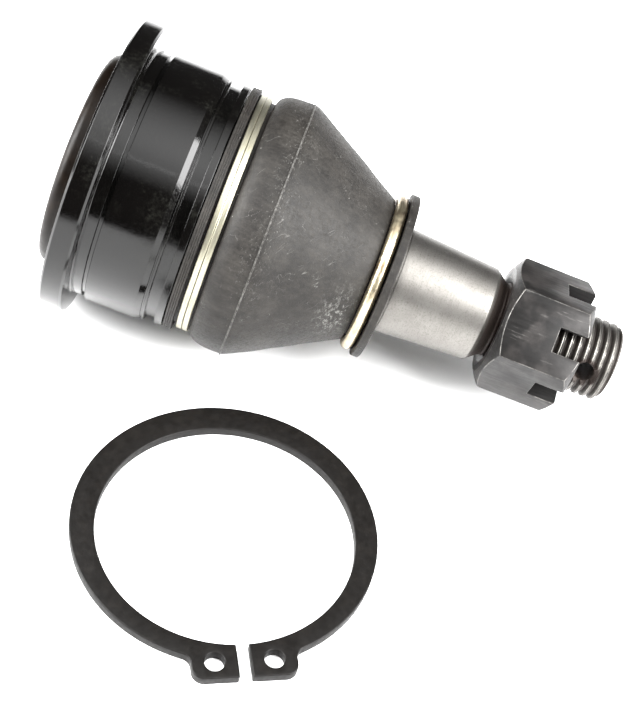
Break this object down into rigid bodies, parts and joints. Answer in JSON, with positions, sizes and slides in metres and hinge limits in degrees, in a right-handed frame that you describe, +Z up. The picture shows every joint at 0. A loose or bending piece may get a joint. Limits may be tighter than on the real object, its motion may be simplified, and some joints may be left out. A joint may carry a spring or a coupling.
{
  "type": "suspension ball joint",
  "caption": "Press-in suspension ball joint with flanged housing, clamped rubber boot, tapered stud and castle nut, and its loose external snap ring.",
  "frame": {"origin": "centre of the ball, which lies on the axis of the press seat within the seat's length", "axes": "+Z up from the bench the joint lies on; +X is level and follows the joint's axis from the cover towards the thread, which itself points 7.59 degrees down"},
  "size_m": [0.1015, 0.1024, 0.0524],
  "materials": {
    "housing_black": "glossy black coating on turned steel",
    "cover_black": "satin brown-black coating",
    "bearing_plastic": "plain acetal",
    "spring_steel": "plain spring steel",
    "stud_steel": "bare forged and turned steel, oiled",
    "boot_rubber": "matte moulded rubber",
    "clip_wire": "zinc plated flat wire, a little yellow",
    "ring_wire": "yellow passivated round wire",
    "nut_dark": "dark phosphate with worn corners",
    "snap_ring_black": "black phosphated spring steel"
  },
  "bodies": {
    "housing": {"housing": "housing_black", "cover_plate": "cover_black", "upper_bearing": "bearing_plastic", "lower_bearing": "bearing_plastic", "preload_spring": "spring_steel", "boot_clip": "clip_wire"},
    "boot": {"dust_boot": "boot_rubber"},
    "boot_collar": {"end_ring": "ring_wire"},
    "stud": {"ball_stud": "stud_steel"},
    "nut": {"castle_nut": "nut_dark"},
    "snap_ring": {"snap_ring": "snap_ring_black"}
  },
  "joints": [
    {"name": "swing_a", "type": "hinge", "parent": "housing", "child": "boot", "pos_m": [0, 0, 0], "axis": [0.0934, 0.7071, 0.7009], "range_deg": [-20, 20], "deforming": ["dust_boot"]},
    {"name": "swing_b", "type": "hinge", "parent": "boot", "child": "boot_collar", "pos_m": [0, 0, 0], "axis": [-0.0934, 0.7071, -0.7009], "range_deg": [-20, 20], "deforming": ["dust_boot"]},
    {"name": "stud_spin", "type": "hinge", "parent": "boot_collar", "child": "stud", "pos_m": [0, 0, 0], "axis": [0.9912, 0, -0.132], "continuous": true},
    {"name": "nut_turn", "type": "hinge", "parent": "stud", "child": "nut", "pos_m": [0.0681, 0, -0.00907], "axis": [0.9912, 0, -0.132], "continuous": true},
    {"name": "ring_lift", "type": "slide", "parent": "housing", "child": "snap_ring", "axis": [0, 0, 1], "range_m": [0, 0.06]}
  ]
}
